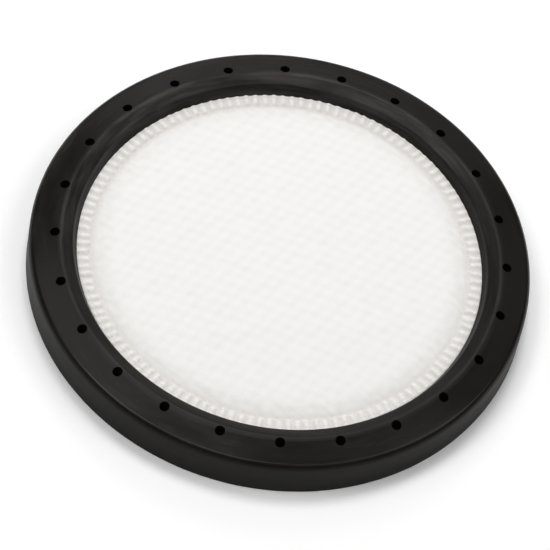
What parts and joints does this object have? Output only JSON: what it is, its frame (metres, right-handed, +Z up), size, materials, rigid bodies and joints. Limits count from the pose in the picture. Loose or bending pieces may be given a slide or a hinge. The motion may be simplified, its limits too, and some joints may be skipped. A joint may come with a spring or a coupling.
{
  "type": "vacuum motor filter",
  "caption": "Round vacuum motor filter: a black moulded rubber sealing ring with a circle of blind pin holes grips a white crowned fleece pad with a ribbed weld band.",
  "frame": {"origin": "middle of the ring's foot, on which the filter lies", "axes": "+Z up through the pad, along the axis that the ring is turned about; +X towards one of the pin holes"},
  "size_m": [0.13, 0.13, 0.013],
  "materials": {
    "rubber": "black moulded rubber, satin",
    "fleece": "white bonded fleece, matt"
  },
  "bodies": {
    "root": {"seal_ring": "rubber", "fleece_pad": "fleece"}
  },
  "joints": []
}
